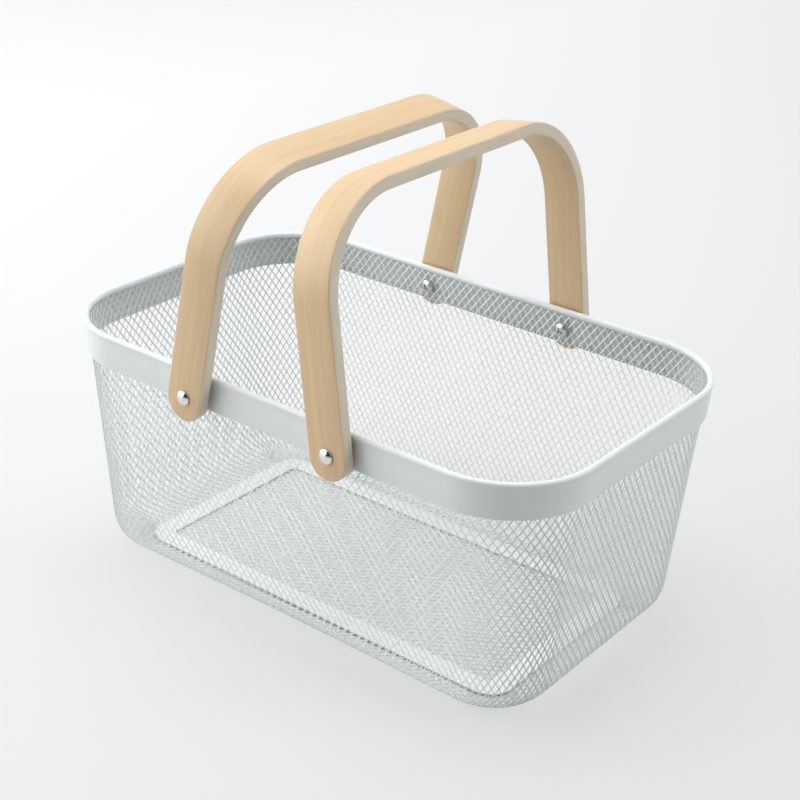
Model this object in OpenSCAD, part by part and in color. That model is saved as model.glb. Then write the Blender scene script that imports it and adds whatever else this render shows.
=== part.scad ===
// Two-handled mesh basket: expanded-steel body, rolled rim band and bent wood handles.
// Millimetres. Z is up, X runs along the long sides, the base stands on z = 0.

/* [Rim band] */

// Length over the rim
rim_l = 400; // [300:1:520]

// Width over the rim
rim_w = 250; // [180:1:340]

// Height of the rim above the table
rim_h = 178; // [120:1:260]

// Plan radius of the rim corners
corner_r = 61.4; // [50:0.1:90]

// Diameter of the rolled edge along the top
bead_d = 4.4; // [3:0.1:7]

// Height of the plain band below the top
band_h = 25; // [18:0.5:45]

// Thickness of the band sheet
band_t = 1.0; // [0.6:0.1:2]

/* [Mesh walls] */

// Lean of the walls from upright, in degrees
wall_lean = 4.8; // [0:0.1:12]

// Distance from the band's inner face to the mesh
mesh_step = 1.6; // [0.4:0.1:4]

// Thickness of the mesh sheet
mesh_t = 1.0; // [0.6:0.1:2]

// Radius where the walls turn under into the floor
floor_r = 25; // [12:0.5:35]

/* [Mesh openings] */

// Openings across a long wall
long_cells = 10; // [6:1:12]

// Openings across a short wall
short_cells = 5; // [3:1:8]

// Openings round a corner
corner_cells = 3; // [2:1:4]

// Staggered rows of openings up the walls
cell_rows = 6; // [4:1:9]

// Openings along the base
base_cells = 8; // [5:1:12]

// Openings across the base
base_rows = 4; // [3:1:6]

// Width of the strands between the openings
strand_w = 5; // [3:0.5:8]

/* [Base] */

// Distance from the rim's outline in to the base frame's outer edge
base_inset = 44; // [36:0.5:52]

// Width of the base frame's strip
strip_w = 15; // [10:0.5:22]

// Thickness of the base frame
strip_t = 3; // [2.4:0.1:5]

// Depth to which the mesh edges enter the base frame
groove_d = 3; // [2:0.5:5]

/* [Handles] */

// Width of the bent wood strip
handle_w = 28; // [20:0.5:40]

// Thickness of the bent wood strip
handle_t = 8.5; // [5:0.5:14]

// Height of a handle above its pivots
handle_rise = 157; // [110:1:200]

// Outer radius of the two bends
bend_r = 64; // [40:1:80]

// Distance of the pivots from the middle of the basket
pivot_x = 59; // [40:0.5:90]

// Distance of the pivots below the rim
pivot_drop = 15; // [10:0.5:20]

// Distance from the pivot down to where the rounded end starts
end_drop = 2.5; // [0:0.5:8]

// Lean of the left handle towards the middle, in degrees
left_lean = 10.4; // [0:0.1:16]

// Lean of the right handle towards the middle, in degrees
right_lean = 8.2; // [0:0.1:16]

/* [Pivot hardware] */

// Diameter of the cap nut's barrel, the pin that the handle turns on
barrel_d = 6.0; // [5:0.1:8]

// Diameter of the cap nut's domed head
cap_d = 10; // [8:0.1:14]

// Height of the cap nut's domed head
cap_h = 3; // [2:0.1:5]

// Diameter of the screw's shank
screw_d = 3.9; // [3:0.1:5]

// Diameter of the screw's pan head
head_d = 9.5; // [7:0.1:12]

// Height of the screw's pan head
head_h = 2.8; // [2:0.1:4]

// Diameter of the washer
washer_d = 12; // [10:0.5:18]

// Thickness of the washer
washer_t = 2; // [1:0.1:4]

/* [Fits] */

// Radial clearance of the handles and washers on the barrels
turn_gap = 0.08; // [0.02:0.01:0.1]

// Side clearance on each face of a handle
side_gap = 0.15; // [0.05:0.05:0.5]

// Radial clearance of the screws in the band and mesh holes
hole_gap = 0.25; // [0.1:0.05:0.5]

// Radial clearance of the screws in the cap nuts
thread_gap = 0.05; // [0.02:0.01:0.1]

// Clearance of the mesh edges in the base frame's grooves
seat_gap = 0.05; // [0.02:0.01:0.2]

/* [Hidden] */

$fn = 96;

steel_paint = [0.84, 0.86, 0.85];
wood_tone = [0.86, 0.74, 0.60];
chrome_tone = [0.80, 0.81, 0.82];
zinc_tone = [0.62, 0.63, 0.64];

// Rim and walls. A profile's x is corner_r minus the inset from the rim's outline.
slope = tan(wall_lean);
bead_z = rim_h - bead_d / 2;
band_low = rim_h - band_h;
band_span = band_t / cos(wall_lean);
mesh_span = mesh_t / cos(wall_lean);
mesh_top = rim_h - bead_d - seat_gap;

function band_in(z) = slope * (rim_h - z);
function mesh_in(z) = band_in(z) + band_span + mesh_step;

// Turn of the wall into the floor
mesh_low = (strip_t - mesh_t) / 2;
turn_z = mesh_low + floor_r;
turn_top = turn_z - floor_r * sin(wall_lean);
turn_in = mesh_in(turn_top) + floor_r * cos(wall_lean);
turn_x = corner_r - turn_in;

// Base
base_l = rim_l - 2 * base_inset;
base_w = rim_w - 2 * base_inset;
groove_in = base_inset + groove_d;
groove_out = base_inset + strip_w - groove_d;
panel_in = groove_out + seat_gap;
panel_l = rim_l - 2 * panel_in;
panel_w = rim_w - 2 * panel_in;
panel_r = corner_r - panel_in;

// Handles and pivots. Distances along Y are measured from the middle plane.
pivot_z = rim_h - pivot_drop;
washer_r = washer_d / 2;
washer_y = rim_w / 2 - band_in(pivot_z + washer_r) + seat_gap;
wood_y = washer_y + washer_t + side_gap;
wood_out = wood_y + handle_t;
cap_y = wood_out + side_gap;
barrel_r = barrel_d / 2;
bore_r = barrel_r + turn_gap;
screw_r = screw_d / 2;
hole_r = screw_r + hole_gap;
nut_hole_r = screw_r + thread_gap;
nut_hole_y = cap_y - 2.5;
screw_tip = nut_hole_y - 1.5;
head_r = head_d / 2;
head_y = rim_w / 2 - mesh_in(pivot_z - head_r) - mesh_span - seat_gap;
cap_edge = 1;
head_edge = 1.2;
recess_w = 1.2;
recess_l = 5.2;
recess_d = 1.5;

// Openings: a staggered lattice of diamonds from above the turn to below the band
long_run = rim_l - 2 * corner_r;
short_run = rim_w - 2 * corner_r;
open_low = turn_z + 1;
open_high = band_low - 2.5;
cell_h = 2 * (open_high - open_low) / (cell_rows + 1);
base_edge = groove_out + groove_d + 1;
base_run = rim_l - 2 * base_edge;
base_span = rim_w - 2 * base_edge;

// Carries a profile once round a rounded rectangle
module round_frame() {
    for (k = [0:3]) {
        a = (k % 2 == 0) ? rim_l / 2 : rim_w / 2;
        b = (k % 2 == 0) ? rim_w / 2 : rim_l / 2;
        rotate([0, 0, 90 * k])
            translate([a - corner_r, b - corner_r, 0]) {
                rotate([90, 0, 0])
                    linear_extrude(2 * (b - corner_r))
                        children();
                rotate_extrude(angle = 90)
                    children();
            }
    }
}

// Stands a piece on a pivot axis, with its z as the distance from the middle plane
module on_pivot(sx, sy) {
    translate([sx * pivot_x, 0, pivot_z])
        rotate([-90 * sy, 0, 0])
            children();
}

// Holes for the four pivot screws, through mesh and band
module screw_holes() {
    for (sx = [-1, 1])
        for (sy = [-1, 1])
            on_pivot(sx, sy)
                translate([0, 0, head_y])
                    cylinder(h = washer_y - head_y, r = hole_r);
}

// Diamond left open in a cell of w by h between strands of width strand_w
module diamond(w, h) {
    side = sqrt(w * w + h * h);
    a = w / 2 - strand_w * side / (2 * h);
    b = h / 2 - strand_w * side / (2 * w);
    polygon([[-a, 0], [0, -b], [a, 0], [0, b]]);
}

// Diamond prism across the whole basket along Y, which opens both facing walls at once
module wall_opening(w) {
    translate([0, rim_l, 0])
        rotate([90, 0, 0])
            linear_extrude(2 * rim_l)
                diamond(w, cell_h);
}

// Staggered openings of the long walls, the short walls and the corners
module wall_openings() {
    long_w = long_run / long_cells;
    short_w = short_run / short_cells;
    turn = 90 / corner_cells;
    for (row = [0:cell_rows - 1]) {
        odd = row % 2;
        z = open_low + (row + 1) * cell_h / 2;
        for (k = [0:long_cells - 1 + odd])
            translate([(k - (long_cells - 1 + odd) / 2) * long_w, 0, z])
                wall_opening(long_w);
        for (k = [0:short_cells - 1 + odd])
            translate([0, (k - (short_cells - 1 + odd) / 2) * short_w, z])
                rotate([0, 0, 90])
                    wall_opening(short_w);
        for (k = [odd:corner_cells - 1])
            for (sx = [-1, 1])
                for (sy = [-1, 1])
                    translate([sx * long_run / 2, sy * short_run / 2, z])
                        rotate([0, 0, atan2(sy, sx) - 45 + (k + (1 - odd) / 2) * turn])
                            rotate([90, 0, 90])
                                linear_extrude(corner_r)
                                    diamond(short_w, cell_h);
    }
}

// Rim band: sheet with a rolled top edge and a lower edge turned in to the mesh
module rim_band() {
    color(steel_paint)
        difference() {
            round_frame() {
                union() {
                    translate([corner_r - bead_d / 2, bead_z])
                        circle(d = bead_d);
                    polygon([
                        [corner_r - band_in(bead_z), bead_z],
                        [corner_r - band_in(bead_z) - band_span, bead_z],
                        [corner_r - band_in(band_low + band_t) - band_span, band_low + band_t],
                        [corner_r - mesh_in(band_low + band_t) + seat_gap, band_low + band_t],
                        [corner_r - mesh_in(band_low) + seat_gap, band_low],
                        [corner_r - band_in(band_low), band_low]
                    ]);
                }
            }
            screw_holes();
        }
}

// Wall mesh: four walls and their turn into the floor, its fine diamonds drawn as a coarse lattice
module wall_mesh() {
    color(steel_paint)
        difference() {
            round_frame() {
                union() {
                    polygon([
                        [corner_r - mesh_in(mesh_top), mesh_top],
                        [corner_r - mesh_in(mesh_top) - mesh_span, mesh_top],
                        [turn_x + (floor_r - mesh_t) * cos(wall_lean),
                            turn_z - (floor_r - mesh_t) * sin(wall_lean)],
                        [turn_x + floor_r * cos(wall_lean), turn_top]
                    ]);
                    intersection() {
                        difference() {
                            translate([turn_x, turn_z])
                                circle(r = floor_r);
                            translate([turn_x, turn_z])
                                circle(r = floor_r - mesh_t);
                        }
                        polygon([
                            [turn_x, turn_z],
                            [turn_x, turn_z - 2 * floor_r],
                            [turn_x + 2 * floor_r, turn_z - 2 * floor_r],
                            [turn_x + 2 * floor_r, turn_z - 2 * floor_r * slope]
                        ]);
                    }
                    translate([corner_r - groove_in + seat_gap, mesh_low])
                        square([groove_in - seat_gap - turn_in, mesh_t]);
                }
            }
            screw_holes();
            wall_openings();
        }
}

// Base frame: flat steel strip whose edges hold the wall mesh and the base mesh
module base_frame() {
    color(steel_paint)
        round_frame() {
            difference() {
                translate([corner_r - base_inset - strip_w, 0])
                    square([strip_w, strip_t]);
                translate([corner_r - groove_in, mesh_low - seat_gap])
                    square([groove_d + 1, mesh_t + 2 * seat_gap]);
                translate([corner_r - base_inset - strip_w - 1, mesh_low - seat_gap])
                    square([groove_d + 1, mesh_t + 2 * seat_gap]);
            }
        }
}

// Base mesh: flat panel inside the base frame, its fine diamonds drawn as a coarse lattice
module base_mesh() {
    cell_l = base_run / base_cells;
    cell_w = base_span / base_rows;
    color(steel_paint)
        translate([0, 0, mesh_low])
            linear_extrude(mesh_t)
                difference() {
                    union() {
                        square([panel_l - 2 * panel_r, panel_w], center = true);
                        square([panel_l, panel_w - 2 * panel_r], center = true);
                        for (sx = [-1, 1])
                            for (sy = [-1, 1])
                                translate([sx * (panel_l / 2 - panel_r), sy * (panel_w / 2 - panel_r)])
                                    circle(r = panel_r);
                    }
                    for (odd = [0, 1])
                        for (i = [0:base_cells - 1 - odd])
                            for (j = [0:base_rows - 1 - odd])
                                translate([(i - (base_cells - 1 - odd) / 2) * cell_l,
                                    (j - (base_rows - 1 - odd) / 2) * cell_w])
                                    diamond(cell_l, cell_w);
                }
}

// Outline of an arch with half width half, top at rise and bends of radius r
module arch_outline(half, rise, r) {
    low = -handle_w;
    union() {
        translate([-half, low])
            square([2 * half, rise - r - low]);
        translate([-(half - r), low])
            square([2 * (half - r), rise - low]);
        for (s = [-1, 1])
            translate([s * (half - r), rise - r])
                circle(r = r);
    }
}

// Handle: one strip of laminated wood bent into an arch, with rounded drilled ends
module handle(sx, lean) {
    color(wood_tone)
        translate([sx * pivot_x, 0, pivot_z])
            rotate([0, -sx * lean, 0])
                difference() {
                    intersection() {
                        translate([-handle_w / 2, 0, 0])
                            rotate([90, 0, 90])
                                linear_extrude(handle_w)
                                    difference() {
                                        arch_outline(wood_out, handle_rise, bend_r);
                                        arch_outline(wood_y, handle_rise - handle_t, bend_r - handle_t);
                                    }
                        union() {
                            translate([-handle_w / 2, -rim_w, -end_drop])
                                cube([handle_w, 2 * rim_w, 2 * handle_rise]);
                            translate([0, rim_w, -end_drop])
                                rotate([90, 0, 0])
                                    cylinder(h = 2 * rim_w, r = handle_w / 2);
                        }
                    }
                    for (sy = [-1, 1])
                        rotate([-90 * sy, 0, 0])
                            translate([0, 0, wood_y - 1])
                                cylinder(h = handle_t + 2, r = bore_r);
                }
}

module handle_left() {
    handle(-1, left_lean);
}

module handle_right() {
    handle(1, right_lean);
}

// Washer: ring that keeps the wood off the band
module washer(sx, sy) {
    color(zinc_tone)
        on_pivot(sx, sy)
            translate([0, 0, washer_y])
                difference() {
                    cylinder(h = washer_t, r = washer_r);
                    translate([0, 0, -1])
                        cylinder(h = washer_t + 2, r = bore_r);
                }
}

module washer_left_front() {
    washer(-1, -1);
}

module washer_left_back() {
    washer(-1, 1);
}

module washer_right_front() {
    washer(1, -1);
}

module washer_right_back() {
    washer(1, 1);
}

// Cap nut: domed head outside and a blind threaded barrel through wood and washer
module cap_nut(sx, sy) {
    dome = cap_h - cap_edge;
    dome_r = (pow(cap_d / 2, 2) + pow(dome, 2)) / (2 * dome);
    color(chrome_tone)
        on_pivot(sx, sy)
            difference() {
                union() {
                    translate([0, 0, washer_y])
                        cylinder(h = cap_y - washer_y, r = barrel_r);
                    translate([0, 0, cap_y])
                        intersection() {
                            cylinder(h = cap_h + 1, d = cap_d);
                            translate([0, 0, cap_h - dome_r])
                                sphere(r = dome_r);
                        }
                }
                translate([0, 0, washer_y - 1])
                    cylinder(h = nut_hole_y - washer_y + 1, r = nut_hole_r);
            }
}

module cap_nut_left_front() {
    cap_nut(-1, -1);
}

module cap_nut_left_back() {
    cap_nut(-1, 1);
}

module cap_nut_right_front() {
    cap_nut(1, -1);
}

module cap_nut_right_back() {
    cap_nut(1, 1);
}

// Screw: pan head inside the basket with a cross recess, and its shank
module screw(sx, sy) {
    dome = head_h - head_edge;
    dome_r = (pow(head_r, 2) + pow(dome, 2)) / (2 * dome);
    color(zinc_tone)
        on_pivot(sx, sy)
            difference() {
                union() {
                    translate([0, 0, head_y])
                        cylinder(h = screw_tip - head_y, r = screw_r);
                    intersection() {
                        translate([0, 0, head_y - head_h - 1])
                            cylinder(h = head_h + 1, r = head_r);
                        translate([0, 0, head_y - head_h + dome_r])
                            sphere(r = dome_r);
                    }
                }
                for (turn = [0, 90])
                    rotate([0, 0, turn + 45])
                        translate([-recess_l / 2, -recess_w / 2, head_y - head_h - 1])
                            cube([recess_l, recess_w, recess_d + 1]);
            }
}

module screw_left_front() {
    screw(-1, -1);
}

module screw_left_back() {
    screw(-1, 1);
}

module screw_right_front() {
    screw(1, -1);
}

module screw_right_back() {
    screw(1, 1);
}

rim_band();
wall_mesh();
base_frame();
base_mesh();
handle_left();
handle_right();
washer_left_front();
washer_left_back();
washer_right_front();
washer_right_back();
cap_nut_left_front();
cap_nut_left_back();
cap_nut_right_front();
cap_nut_right_back();
screw_left_front();
screw_left_back();
screw_right_front();
screw_right_back();
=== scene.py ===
from math import cos, pi, radians, sin, tan

import bpy
import numpy as np
from mathutils import Matrix, Vector


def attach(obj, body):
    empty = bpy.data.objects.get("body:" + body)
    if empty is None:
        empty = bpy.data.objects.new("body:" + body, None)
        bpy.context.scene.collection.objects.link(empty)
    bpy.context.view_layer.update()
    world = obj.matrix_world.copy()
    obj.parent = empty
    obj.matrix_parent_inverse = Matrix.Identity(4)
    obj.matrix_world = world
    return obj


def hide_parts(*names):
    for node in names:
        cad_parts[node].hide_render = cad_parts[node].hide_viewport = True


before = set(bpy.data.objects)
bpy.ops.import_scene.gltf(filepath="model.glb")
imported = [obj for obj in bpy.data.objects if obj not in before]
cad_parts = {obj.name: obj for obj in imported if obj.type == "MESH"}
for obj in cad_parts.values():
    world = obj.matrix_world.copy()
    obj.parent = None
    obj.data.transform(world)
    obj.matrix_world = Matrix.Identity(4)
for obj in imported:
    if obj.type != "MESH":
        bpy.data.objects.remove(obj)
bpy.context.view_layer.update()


# Camera: a long lens looks down over the front long side, a little rolled, as the photograph does.
# It stands 1.16 m from a point above the middle of the basket.
turn, tilt, roll = radians(37.13), radians(26.01), radians(2.29)
aim_height, aim_right, aim_up, camera_distance = 0.0865, 0.00965, 0.04091, 1.1591
toward_camera = Vector((sin(turn) * cos(tilt), -cos(turn) * cos(tilt), sin(tilt)))
level_right = Vector((cos(turn), sin(turn), 0))
level_up = toward_camera.cross(level_right)
camera_right = cos(roll) * level_right + sin(roll) * level_up
camera_up = cos(roll) * level_up - sin(roll) * level_right
aim = Vector((0, 0, aim_height)) + aim_right * camera_right + aim_up * camera_up
camera_place = aim + camera_distance * toward_camera
lens = bpy.data.cameras.new("studio_camera")
lens.sensor_width = 36
lens.lens = 75.66
lens.clip_start, lens.clip_end = 0.05, 60
camera = bpy.data.objects.new("studio_camera", lens)
bpy.context.scene.collection.objects.link(camera)
camera.matrix_world = Matrix((
    (camera_right.x, camera_up.x, toward_camera.x, camera_place.x),
    (camera_right.y, camera_up.y, toward_camera.y, camera_place.y),
    (camera_right.z, camera_up.z, toward_camera.z, camera_place.z),
    (0, 0, 0, 1)))
bpy.context.scene.camera = camera
bpy.context.scene.view_settings.view_transform = "Standard"


# Studio floor: one pale sheet that runs out of view on all sides. Where it is looked at, most of its tone
# is a glow that falls off from the left to the near right, so the basket's shadow on it stays faint.
def surface(name, corners, faces, smooth=False):
    """A mesh object from an array of corners in metres and one or more arrays of faces."""
    mesh = bpy.data.meshes.new(name)
    mesh.from_pydata(np.asarray(corners, float).tolist(), [], [f for part in faces for f in part.tolist()])
    mesh.polygons.foreach_set("use_smooth", np.full(len(mesh.polygons), smooth))
    mesh.update()
    thing = bpy.data.objects.new(name, mesh)
    bpy.context.scene.collection.objects.link(thing)
    return thing


def fill(paint, node, inputs):
    """Fill a node's inputs: each takes a plain value, or a link where it is given another node's output."""
    for socket, value in inputs.items():
        if isinstance(value, bpy.types.NodeSocket):
            paint.node_tree.links.new(value, node.inputs[socket])
        else:
            node.inputs[socket].default_value = value


def add(paint, kind, inputs=None, **settings):
    """A new shader node of a kind, with its settings made and its inputs filled."""
    node = paint.node_tree.nodes.new("ShaderNode" + kind)
    for setting, value in settings.items():
        setattr(node, setting, value)
    fill(paint, node, inputs or {})
    return node


def maths(paint, operation, *values):
    """One sum on plain values and other nodes' outputs."""
    return add(paint, "Math", dict(enumerate(values)), operation=operation).outputs[0]


def mixed(paint, factor, first, second):
    """A colour between two others: each is three numbers or another node's output."""
    first, second = (part if isinstance(part, bpy.types.NodeSocket) else (*part, 1) for part in (first, second))
    return add(paint, "Mix", {"Factor": factor, 6: first, 7: second}, data_type="RGBA").outputs[2]


def finish(name, colour, roughness):
    """A material and its one Principled shader, with a plain colour and roughness."""
    paint = bpy.data.materials.new(name)
    paint.use_nodes = True
    paint.diffuse_color = (*colour, 1)
    shader = paint.node_tree.nodes["Principled BSDF"]
    fill(paint, shader, {"Base Color": (*colour, 1), "Roughness": roughness})
    return paint, shader


floor_half = 40.0
paper_lit, paper_seen = (0.52, 0.52, 0.53), (0.28, 0.28, 0.28)
glow_right, glow_left = (0.350, 0.352, 0.360), (0.625, 0.630, 0.645)
glow_from, glow_to, glow_way = -0.75, 1.0, (-0.995, 0.10, 0)
floor = surface("studio_floor", [(-floor_half, -floor_half, 0), (floor_half, -floor_half, 0),
                                 (floor_half, floor_half, 0), (-floor_half, floor_half, 0)],
                [np.array([[0, 1, 2, 3]])])
floor_paper, shader = finish("floor_paper", paper_lit, 0.9)
rays = add(floor_paper, "LightPath").outputs
seen = maths(floor_paper, "MAXIMUM", maths(floor_paper, "MAXIMUM", rays["Is Camera Ray"], rays["Is Glossy Ray"]),
             rays["Is Transmission Ray"])
place = add(floor_paper, "TexCoord").outputs["Object"]
leftward = add(floor_paper, "VectorMath", {0: place, 1: glow_way}, operation="DOT_PRODUCT").outputs["Value"]
spread = add(floor_paper, "MapRange", {"Value": leftward, "From Min": glow_from, "From Max": glow_to})
fill(floor_paper, shader, {
    "Specular IOR Level": 0.0,
    "Base Color": mixed(floor_paper, seen, paper_lit, paper_seen),
    "Emission Color": mixed(floor_paper, spread.outputs["Result"], glow_right, glow_left),
    "Emission Strength": seen})
floor.data.materials.append(floor_paper)


# Studio light: a wide soft box at the left, a small one at the right and one overhead. The room is dark
# behind the camera and nothing shines from there, so the corner that points at it stays the darkest.
lamp_aim = Vector((0, 0, 0.1))


def soft_box(name, direction, distance, size, power):
    """An area lamp of a given width and height, at a distance along a direction and turned to the basket."""
    lamp = bpy.data.lights.new(name, "AREA")
    lamp.shape = "RECTANGLE"
    lamp.size, lamp.size_y = size
    lamp.energy = power
    box = bpy.data.objects.new(name, lamp)
    bpy.context.scene.collection.objects.link(box)
    away = Vector(direction).normalized()
    box.matrix_world = (Matrix.Translation(lamp_aim + away * distance)
                        @ away.to_track_quat("Z", "Y").to_matrix().to_4x4())


soft_box("left_soft_box", (-0.80, -0.62, 0.42), 2.4, (3.8, 1.9), 61)
soft_box("right_soft_box", (0.86, 0.30, 0.50), 2.4, (1.4, 1.4), 19)
soft_box("overhead_soft_box", (-0.12, 0.05, 1.0), 2.3, (1.7, 1.7), 33)
sky = bpy.data.worlds.new("studio_room")
sky.use_nodes = True
facing = add(sky, "TexCoord").outputs["Generated"]
front = add(sky, "VectorMath", {0: facing, 1: (0.60, -0.80, 0)}, operation="DOT_PRODUCT").outputs["Value"]
fall = add(sky, "MapRange", {"Value": front, "From Min": -0.30, "From Max": 0.60, "To Min": 0.85, "To Max": 0.02},
           interpolation_type="SMOOTHSTEP")
fill(sky, sky.node_tree.nodes["Background"], {"Color": (0.96, 0.98, 1.0, 1), "Strength": fall.outputs["Result"]})
bpy.context.scene.world = sky


# Rim band: a strip of 1 mm sheet steel bent round the top of the basket.
# Its top edge is rolled into a bead and its lower edge is turned in to the mesh.
# All steel is powder coated pale grey-green after the parts are joined.
half_l, half_w, corner_r, corner_mid_r = 0.200, 0.125, 0.0614, 0.0584
rim_top, bead_r, band_h, band_t = 0.178, 0.0022, 0.0250, 0.0010
lean = radians(4.8)
mesh_step, sheet_t = 0.0016, 0.0010
corner_run = 0.5 * pi * corner_mid_r
side_l, side_w = 2 * (half_l - corner_r), 2 * (half_w - corner_r)
way_round = 2 * (side_l + side_w + 2 * corner_run)
side_steps, corner_steps = 8, 36
stations = np.concatenate([
    start + np.concatenate([np.linspace(0, side, side_steps + 1)[:-1],
                            side + np.linspace(0, corner_run, corner_steps + 1)[:-1]])
    for start, side in ((0, side_w), (side_w + corner_run, side_l),
                        (way_round / 2, side_w), (way_round / 2 + side_w + corner_run, side_l))])


def outline(along, inset):
    """Place on the basket's plan: straight sides and quarter circles about fixed centres, moved in by the
    inset.

    along is the run round the rim from the front end of the right side. The second half is the first turned
    by half a turn."""
    half = way_round / 2
    along = np.mod(along, way_round)
    turn_sign = np.where(along < half, 1.0, -1.0)
    run = np.mod(along, half)
    first = np.clip((run - side_w) / corner_run, 0, 1) * pi / 2
    second = np.clip((run - side_w - corner_run - side_l) / corner_run, 0, 1) * pi / 2
    angle = first + second
    up_side = np.clip(run, 0, side_w)
    along_side = np.clip(run - side_w - corner_run, 0, side_l)
    x = side_l / 2 - along_side + (corner_r - inset) * np.cos(angle)
    y = -side_w / 2 + up_side + (corner_r - inset) * np.sin(angle)
    return turn_sign * x, turn_sign * y


def band_inset(z):
    """How far in the band's outer face is at a height: the drop from the rim times the slope of its lean."""
    return tan(lean) * (rim_top - z)


def mesh_inset(z):
    """The same for the mesh, which hangs a step inside the band's inner face."""
    return band_inset(z) + band_t / cos(lean) + mesh_step


def eased(points, radii, steps=5):
    """A closed profile with each corner replaced by an arc-like curve: a quadratic blend between the two
    points at the corner's radius along its edges."""
    points = np.asarray(points, float)
    before, after = np.roll(points, 1, 0), np.roll(points, -1, 0)
    t = np.linspace(0, 1, steps)[None, :, None]
    to_before = (before - points) / np.linalg.norm(before - points, axis=1, keepdims=True)
    to_after = (after - points) / np.linalg.norm(after - points, axis=1, keepdims=True)
    r = np.broadcast_to(np.asarray(radii, float).reshape(-1, 1), (len(points), 1))
    start, end, mid = (points + to_before * r)[:, None], (points + to_after * r)[:, None], points[:, None]
    return ((1 - t) ** 2 * start + 2 * t * (1 - t) * mid + t ** 2 * end).reshape(-1, 2)


def grid_faces(rows, columns, rows_close):
    """Four-sided faces between the points of a grid whose columns close in a ring, and its rows too if asked."""
    i, j = np.meshgrid(np.arange(rows if rows_close else rows - 1), np.arange(columns), indexing="ij")
    i2, j2 = (i + 1) % rows, (j + 1) % columns
    return np.stack([i * columns + j, i2 * columns + j, i2 * columns + j2, i * columns + j2], -1).reshape(-1, 4)


def swept(name, profile):
    """A closed surface: every point of a closed (inset, height) profile is carried once round the outline."""
    inset, height = profile[:, 0][None, :], profile[:, 1][None, :]
    x, y = outline(stations[:, None], np.repeat(inset, len(stations), 0))
    corners = np.stack([x, y, np.broadcast_to(height, x.shape)], -1).reshape(-1, 3)
    return surface(name, corners, [grid_faces(*x.shape, True)], smooth=True)


def mottle(paint, scale, detail):
    """Cloudy noise fixed to the piece, as a factor."""
    place = add(paint, "TexCoord").outputs["Object"]
    return add(paint, "TexNoise", {"Vector": place, "Scale": scale, "Detail": detail}).outputs["Fac"]


def between(paint, factor, low, high):
    """A number between two others, as far along as the factor says."""
    return add(paint, "MapRange", {"Value": factor, "To Min": low, "To Max": high}).outputs["Result"]


def bumped(paint, height, strength, distance):
    """The surface's direction where a pattern raises it by up to a distance in metres."""
    return add(paint, "Bump", {"Height": height, "Strength": strength, "Distance": distance}).outputs["Normal"]


band_low, bead_z = rim_top - band_h, rim_top - bead_r
inner_top, ease_z, turn_in_gap = rim_top - 2 * bead_r - 0.0002, bead_z - 0.008, 0.0001
roll_angle = np.linspace(-lean, radians(250), 26)
bead_curve = np.stack([bead_r - bead_r * np.cos(roll_angle), bead_z + bead_r * np.sin(roll_angle)], -1)
lower_edge = eased([
    (band_inset(inner_top) + band_t / cos(lean), inner_top),
    (band_inset(band_low + band_t) + band_t / cos(lean), band_low + band_t),
    (mesh_inset(band_low + band_t) - turn_in_gap, band_low + band_t),
    (mesh_inset(band_low) - turn_in_gap, band_low),
    (band_inset(band_low), band_low),
    (band_inset(ease_z), ease_z)],
    [0.0001, 0.0004, 0.0002, 0.0003, 0.0008, 0.0050])
rim_band = swept("rim_band_rolled", np.concatenate([bead_curve, lower_edge]))
powder_coat, shader = finish("powder_coat", (0.715, 0.752, 0.742), 0.42)
drift = mottle(powder_coat, 14, 3)
fill(powder_coat, shader, {
    "Base Color": mixed(powder_coat, drift, (0.700, 0.738, 0.729), (0.730, 0.766, 0.756)),
    "Roughness": between(powder_coat, drift, 0.36, 0.50),
    "Normal": bumped(powder_coat, mottle(powder_coat, 900, 2), 0.05, 0.0004)})
rim_band.data.materials.append(powder_coat)
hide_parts("rim_band")
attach(rim_band, "basket")


# Wall mesh: sheet steel slit in staggered rows and stretched, so that the strands between the slits open
# into tall diamonds and lean over. The strip is bent round the walls, pressed to a round foot and turned
# flat under the base frame. Its top edge is held in the rolled rim.
cells_round, cell_rows = 200, 46
strand_half, strand_t, strand_lean, joint_spread = 0.00034, 0.00060, 0.00034, 1.15
mesh_low, floor_r = 0.0010, 0.025
wall_top = rim_top - 2 * bead_r - 0.0001
turn_z = mesh_low + floor_r
turn_start = turn_z - floor_r * sin(lean)
turn_inset = mesh_inset(turn_start) + floor_r * cos(lean)
mid_r = floor_r - sheet_t / 2
wall_run = (wall_top - turn_start) / cos(lean)
turn_run = mid_r * (pi / 2 - lean)
flange_end = 0.0468
flange_run = flange_end - turn_inset
mesh_run = wall_run + turn_run + flange_run
waist, waist_half_l, waist_half_w = 0.0030, 0.150, 0.112


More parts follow.
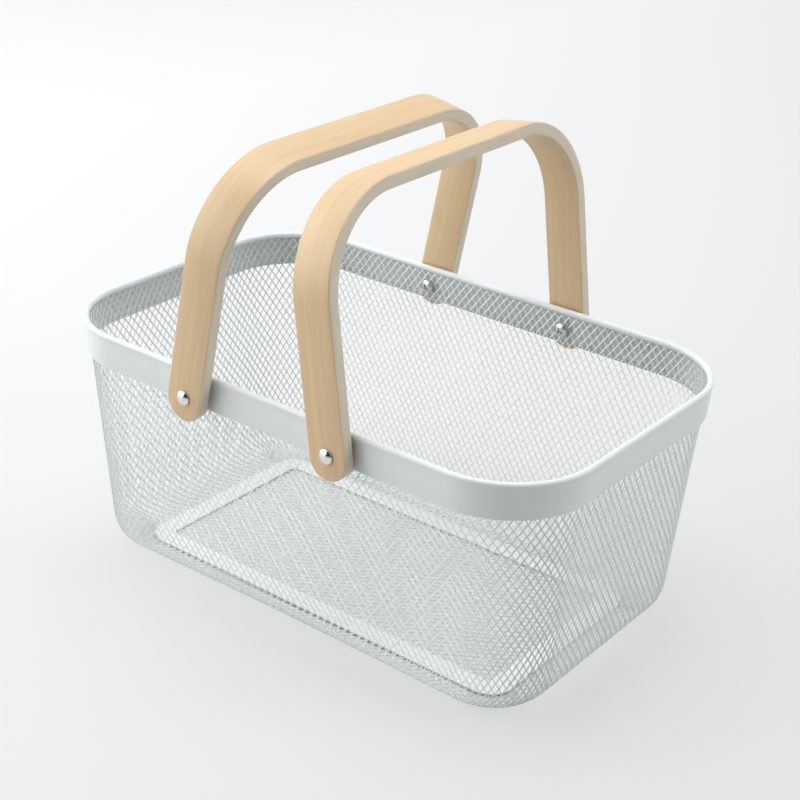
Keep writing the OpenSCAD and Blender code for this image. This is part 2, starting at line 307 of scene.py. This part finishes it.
def strands(cells, rows, cell_w, cell_h, closed, shape):
    """A diamond lattice of stretched sheet.

    Lattice points lie at every second place of a grid of half cells. Each has four corners, right, down,
    left and up, set out so that the strands between points keep one width. The right corners stand out and
    the left ones in, which leans every strand. shape(along, down, out) carries these flat places to the real
    surface. The back is a copy of the front a strand's thickness in, and every open edge gets a wall."""
    columns = 2 * cells if closed else 2 * cells + 1
    i, j = np.meshgrid(np.arange(columns), np.arange(rows + 1), indexing="ij")
    there = (i + j) % 2 == 0
    number = np.full(i.shape, -1)
    number[there] = np.arange(there.sum())
    at_i, at_j = i[there], j[there]
    step = np.hypot(cell_w / 2, cell_h / 2)
    reach_w = strand_half * step / (cell_h / 2)
    reach_h = joint_spread * strand_half * step / (cell_w / 2)
    along = (at_i * cell_w / 2)[:, None] + np.array([reach_w, 0, -reach_w, 0])
    down = (at_j * cell_h / 2)[:, None] + np.array([0, reach_h, 0, -reach_h])
    down = np.clip(down, 0, rows * cell_h / 2)
    out = np.broadcast_to(np.array([strand_lean, 0, -strand_lean, 0]), along.shape)
    outer = shape(along.ravel(), down.ravel(), out.ravel() + strand_t / 2)
    inner = shape(along.ravel(), down.ravel(), out.ravel() - strand_t / 2)

    def reached(di, dj):
        """First corners of the points that have a neighbour a given way off, and those of the neighbours."""
        ni, nj = at_i + di, at_j + dj
        if closed:
            ni = np.mod(ni, columns)
        fits = (ni >= 0) & (ni < columns) & (nj >= 0) & (nj <= rows)
        other = number[np.clip(ni, 0, columns - 1), np.clip(nj, 0, rows)]
        return 4 * number[there][fits], 4 * other[fits]

    points = 4 * number[there]
    blocks = [np.stack([points, points + 3, points + 2, points + 1], -1)]
    mine, other = reached(1, -1)
    blocks.append(np.stack([mine, other + 1, other + 2, mine + 3], -1))
    mine, other = reached(1, 1)
    blocks.append(np.stack([mine + 1, other + 2, other + 3, mine], -1))
    front = np.concatenate(blocks)
    total = len(outer)
    edge = np.stack([front, np.roll(front, -1, 1)], -1).reshape(-1, 2)
    forth, back = edge[:, 0] * total + edge[:, 1], edge[:, 1] * total + edge[:, 0]
    rim = edge[~np.isin(forth, back)]
    walls = np.stack([rim[:, 0], rim[:, 0] + total, rim[:, 1] + total, rim[:, 1]], -1)
    return np.concatenate([outer, inner]), [front, front[:, ::-1] + total, walls]


def wall_shape(along, down, out):
    """The wall's surface: a leaning straight run, a quarter-round foot and a flat flange, carried round the
    outline. The long sides are drawn in a little half way along, most at the foot."""
    swing = lean + np.clip((down - wall_run) / mid_r, 0, pi / 2 - lean)
    straight = np.minimum(down, wall_run)
    flat = np.maximum(down - wall_run - turn_run, 0)
    inset = turn_inset - mid_r * np.cos(swing) - (wall_run - straight) * sin(lean) + flat
    height = turn_z - mid_r * np.sin(swing) + (wall_run - straight) * cos(lean)
    x, y = outline(along, inset - out * np.cos(swing))
    draw = np.interp(down, [0, 0.03, 0.6 * wall_run, wall_run, wall_run + turn_run, mesh_run],
                     [0, 0, 0.65, 1, 0.35, 0])
    belly = np.clip(1 - (x / waist_half_l) ** 2, 0, 1) ** 1.5
    y = y * (1 - draw * belly * waist / waist_half_w)
    return np.stack([x, y, height - out * np.sin(swing)], -1)


wall_mesh = surface("wall_mesh_strands", *strands(
    cells_round, cell_rows, way_round / cells_round, 2 * mesh_run / cell_rows, True, wall_shape))
wall_mesh.data.materials.append(powder_coat)
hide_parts("wall_mesh")
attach(wall_mesh, "basket")


# Base mesh: a flat panel of the same stretched sheet, with its long diamonds along the basket.
# Its edges are held in the base frame's inner fold.
panel_l, panel_w, panel_cells, panel_rows = 0.2864, 0.1368, 25, 70


def base_shape(along, down, out):
    """A level plane at the middle of the sheet, with the lattice's rows counted along the basket."""
    return np.stack([down - panel_l / 2, along - panel_w / 2, mesh_low + sheet_t / 2 + out], -1)


base_mesh = surface("base_mesh_strands", *strands(
    panel_cells, panel_rows, panel_w / panel_cells, 2 * panel_l / panel_rows, False, base_shape))
base_mesh.data.materials.append(powder_coat)
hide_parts("base_mesh")
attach(base_mesh, "basket")


# Base frame: a flat ring of folded steel strip, 15 mm wide and 3 mm thick, that the basket stands on.
# Both of its edges are folded over the mesh and the whole ring is coated with it.
frame_out, frame_in, frame_t, groove_d = 0.044, 0.059, 0.003, 0.003
slot_low, slot_high = 0.00095, 0.00205
base_frame = swept("base_frame_folded", eased([
    (frame_out, slot_high), (frame_out, frame_t), (frame_in, frame_t), (frame_in, slot_high),
    (frame_in - groove_d, slot_high), (frame_in - groove_d, slot_low), (frame_in, slot_low), (frame_in, 0),
    (frame_out, 0), (frame_out, slot_low), (frame_out + groove_d, slot_low), (frame_out + groove_d, slot_high)],
    [0.0002, 0.0007, 0.0007, 0.0002, 0.0001, 0.0001, 0.0002, 0.0007, 0.0007, 0.0002, 0.0001, 0.0001], 4))
base_frame.data.materials.append(powder_coat)
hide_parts("base_frame")
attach(base_frame, "basket")


# Handles: each is one strip of pale hardwood plies, glued and bent over a form, 28 mm wide and 8.5 mm
# thick. The ends are rounded and drilled, the edges are eased by hand, and the lacquer is clear satin.
strip_t, end_r, ply_count, edge_ease = 0.0085, 0.0140, 7, 0.0009
pivot_x, pivot_z, wood_out = 0.059, 0.163, 0.13489
rise, bend_r, end_drop = 0.157, 0.064, 0.0025
leg_run = rise - bend_r + end_drop + end_r
bend_run = (bend_r - strip_t / 2) * pi / 2
bar_run = 2 * (wood_out - bend_r)
strip_run = 2 * (leg_run + bend_run) + bar_run


def bent(along, across, deep, side, lean_in):
    """Place on a handle: along the strip's middle line, across its width and deep through its plies.

    The middle line goes up one leg, round a quarter circle, over the bar and down the other leg. The whole
    arch leans in about the pivot line."""
    bend = (np.clip((along - leg_run) / bend_run, 0, 1)
            + np.clip((along - leg_run - bend_run - bar_run) / bend_run, 0, 1)) * pi / 2
    across_bar = np.clip(along - leg_run - bend_run, 0, bar_run)
    below = np.maximum(leg_run - along, 0) + np.maximum(along - (strip_run - leg_run), 0)
    reach = bend_r - strip_t / 2 + deep
    y = -(wood_out - bend_r) + across_bar - reach * np.cos(bend)
    up = rise - bend_r - below + reach * np.sin(bend)
    x = across * cos(lean_in) - side * up * sin(lean_in)
    z = side * across * sin(lean_in) + up * cos(lean_in)
    return np.stack([side * pivot_x + x, y, pivot_z + z], -1)


def strip_outline():
    """Half of the flat strip's closed outline, from tip to tip: a quarter circle, the straight edge with more
    places where the strip bends, and a quarter circle. It gives places and outward directions."""
    swing = np.linspace(0, pi / 2, 15)
    runs = np.concatenate([
        np.linspace(end_r, leg_run, 12)[1:], leg_run + np.linspace(0, bend_run, 33)[1:],
        leg_run + bend_run + np.linspace(0, bar_run, 17)[1:],
        leg_run + bend_run + bar_run + np.linspace(0, bend_run, 33)[1:],
        strip_run - leg_run + np.linspace(0, leg_run - end_r, 12)[1:-1]])
    along = np.concatenate([end_r - end_r * np.cos(swing), runs, (strip_run - end_r) + end_r * np.sin(swing)])
    across = np.concatenate([end_r * np.sin(swing), np.full(len(runs), end_r), end_r * np.cos(swing)])
    out_along = np.concatenate([-np.cos(swing), np.zeros(len(runs)), np.sin(swing)])
    out_across = np.concatenate([np.sin(swing), np.ones(len(runs)), np.cos(swing)])
    return along, across, out_along, out_across


def handle(name, side, lean_in):
    """A closed plate: layers of the strip's outline, drawn in at both faces by the eased edge, with the faces
    closed by cross strips between the two edges. The flat places are kept as strip_place for the wood."""
    along, across, out_along, out_across = (
        np.concatenate([part, mirror * part[-2:0:-1]]) for part, mirror in zip(strip_outline(), (1, -1, 1, -1)))
    swing = np.radians([90, 65, 40, 20, 0])
    draw = np.concatenate([edge_ease * (1 - np.cos(swing)), [0, 0, 0], edge_ease * (1 - np.cos(swing[::-1]))])
    deep = np.concatenate([strip_t / 2 - edge_ease * (1 - np.sin(swing)), strip_t * np.array([0.2, 0, -0.2]),
                           -strip_t / 2 + edge_ease * (1 - np.sin(swing[::-1]))])
    a = along[None] - draw[:, None] * out_along[None]
    w = across[None] - draw[:, None] * out_across[None]
    d = np.repeat(deep[:, None], a.shape[1], 1)
    layers, n = a.shape
    half = n // 2
    k = np.arange(1, half - 1)
    face = [np.stack([k, k + 1, n - k - 1, n - k], -1), np.array([[0, 1, n - 1], [half, half + 1, half - 1]])]
    faces = [grid_faces(layers, n, False)] + face + [part[:, ::-1] + (layers - 1) * n for part in face]
    thing = surface(name, bent(a.ravel(), w.ravel(), d.ravel(), side, lean_in), faces, smooth=True)
    place = thing.data.attributes.new("strip_place", "FLOAT_VECTOR", "POINT")
    place.data.foreach_set("vector", np.stack([a.ravel(), w.ravel(), d.ravel()], -1).astype(np.float32).ravel())
    return thing


def wood(name, offset):
    """Lacquered birch: soft long streaks and short pores on the faces, and thin plies on the edges."""
    lacquer, shader = finish(name, (0.66, 0.49, 0.30), 0.42)
    place = add(lacquer, "Attribute", attribute_name="strip_place").outputs["Vector"]
    depth = add(lacquer, "SeparateXYZ", {0: place}).outputs["Z"]

    def streaks(scale, detail, shift):
        """Noise stretched by a scale for each way of the strip, moved so that no two patterns agree."""
        moved = add(lacquer, "VectorMath", {0: place, 1: scale, 2: (shift + offset, shift, offset)},
                    operation="MULTIPLY_ADD").outputs["Vector"]
        return add(lacquer, "TexNoise", {"Vector": moved, "Scale": 1, "Detail": detail,
                                         "Roughness": 0.6}).outputs["Fac"]

    def blend(factor, low, high, first, second):
        """A colour that turns from the first to the second while the factor goes from low to high."""
        step = add(lacquer, "MapRange", {"Value": factor, "From Min": low, "From Max": high})
        return mixed(lacquer, step.outputs["Result"], first, second)

    figure = blend(streaks((9, 190, 60), 3, 1.7), 0.30, 0.70, (0.595, 0.424, 0.240), (0.665, 0.490, 0.288))
    fibres = streaks((26, 1500, 400), 2, 4.1)
    faces = blend(fibres, 0.62, 0.80, figure, (0.540, 0.360, 0.180))
    layer = maths(lacquer, "FRACT", maths(lacquer, "MULTIPLY_ADD", depth, ply_count / strip_t, ply_count / 2))
    glue = maths(lacquer, "ABSOLUTE", maths(lacquer, "SUBTRACT", layer, 0.5))
    edge_tone = blend(streaks((40, 5, 900), 2, 7.3), 0.35, 0.70, (0.640, 0.560, 0.435), (0.720, 0.640, 0.515))
    edge_plies = blend(glue, 0.40, 0.50, edge_tone, (0.440, 0.340, 0.230))
    fill(lacquer, shader, {
        "Base Color": blend(maths(lacquer, "ABSOLUTE", depth), 0.00385, 0.00410, edge_plies, faces),
        "Roughness": between(lacquer, fibres, 0.36, 0.52),
        "Normal": bumped(lacquer, fibres, 0.12, 0.0003)})
    return lacquer


for name, node, body, side, lean_in, offset in (
        ("handle_left_bent", "handle_left", "left_handle", -1, radians(-10.4), 0.0),
        ("handle_right_bent", "handle_right", "right_handle", 1, radians(-8.2), 11.0)):
    strip = handle(name, side, -lean_in)
    strip.data.materials.append(wood(name + "_wood", offset))
    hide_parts(node)
    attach(strip, body)


# Cap nuts: domed nuts of bright chromed steel. Their barrels run through the wood and the washer, and the
# handle turns on them.
cap_y, cap_r, cap_h, cap_edge, barrel_r, barrel_end = 0.13504, 0.0050, 0.0030, 0.0010, 0.0030, 0.12429


def turned(name, profile, side_x, side_y):
    """A closed turned piece: a (radius, distance) profile from axis to axis, carried round a pivot line."""
    swing = np.linspace(0, 2 * pi, 49)[:-1]
    radius, out = profile[1:-1, 0], profile[1:-1, 1]
    x = radius[:, None] * np.cos(swing)[None]
    z = radius[:, None] * np.sin(swing)[None]
    y = np.repeat(out[:, None], len(swing), 1)
    corners = np.stack([x, y, z], -1).reshape(-1, 3)
    corners = np.concatenate([corners, [[0, profile[0, 1], 0], [0, profile[-1, 1], 0]]])
    m, n = x.shape
    k = np.arange(n)
    k2 = (k + 1) % n
    faces = [grid_faces(m, n, False), np.stack([np.full(n, m * n), k, k2], -1),
             np.stack([(m - 1) * n + k2, (m - 1) * n + k, np.full(n, m * n + 1)], -1)]
    if side_y > 0:
        faces = [part[:, ::-1] for part in faces]
    corners = corners * [1, side_y, 1] + [side_x * pivot_x, 0, pivot_z]
    return surface(name, corners, faces, smooth=True)


dome_r = (cap_r ** 2 + (cap_h - cap_edge) ** 2) / (2 * (cap_h - cap_edge))
dome_angle = np.arcsin(cap_r / dome_r) * np.linspace(0, 1, 13)
dome = np.stack([dome_r * np.sin(dome_angle), cap_y + cap_h - dome_r + dome_r * np.cos(dome_angle)], -1)
cap_profile = np.concatenate([
    dome[:-1], dome[-1:] + [[-0.00012, 0.00008], [0, -0.00006]],
    [(cap_r, cap_y + 0.0003), (cap_r - 0.0002, cap_y), (barrel_r + 0.0001, cap_y), (barrel_r, cap_y - 0.0001),
     (barrel_r, barrel_end), (0, barrel_end)]])
chrome, shader = finish("bright_chrome", (0.78, 0.77, 0.75), 0.18)
fill(chrome, shader, {"Metallic": 1.0, "Roughness": between(chrome, mottle(chrome, 420, 4), 0.12, 0.26)})
for x_word, side_x in (("left", -1), ("right", 1)):
    for y_word, side_y in (("front", -1), ("back", 1)):
        cap = turned(f"cap_nut_{x_word}_{y_word}_domed", cap_profile, side_x, side_y)
        cap.data.materials.append(chrome)
        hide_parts(f"cap_nut_{x_word}_{y_word}")
        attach(cap, "basket")


# Screws and washers: zinc-plated pan heads with a cross recess inside the mesh, and plain rings that keep
# the wood off the band. They keep the shapes they were made with and take the plating.
zinc, shader = finish("zinc_plate", (0.60, 0.61, 0.62), 0.30)
spangle = mottle(zinc, 700, 3)
fill(zinc, shader, {
    "Metallic": 1.0,
    "Base Color": mixed(zinc, spangle, (0.52, 0.53, 0.54), (0.68, 0.68, 0.67)),
    "Roughness": between(zinc, spangle, 0.24, 0.40)})
for node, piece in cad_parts.items():
    if node.startswith(("screw_", "washer_")):
        piece.data.materials.clear()
        piece.data.materials.append(zinc)
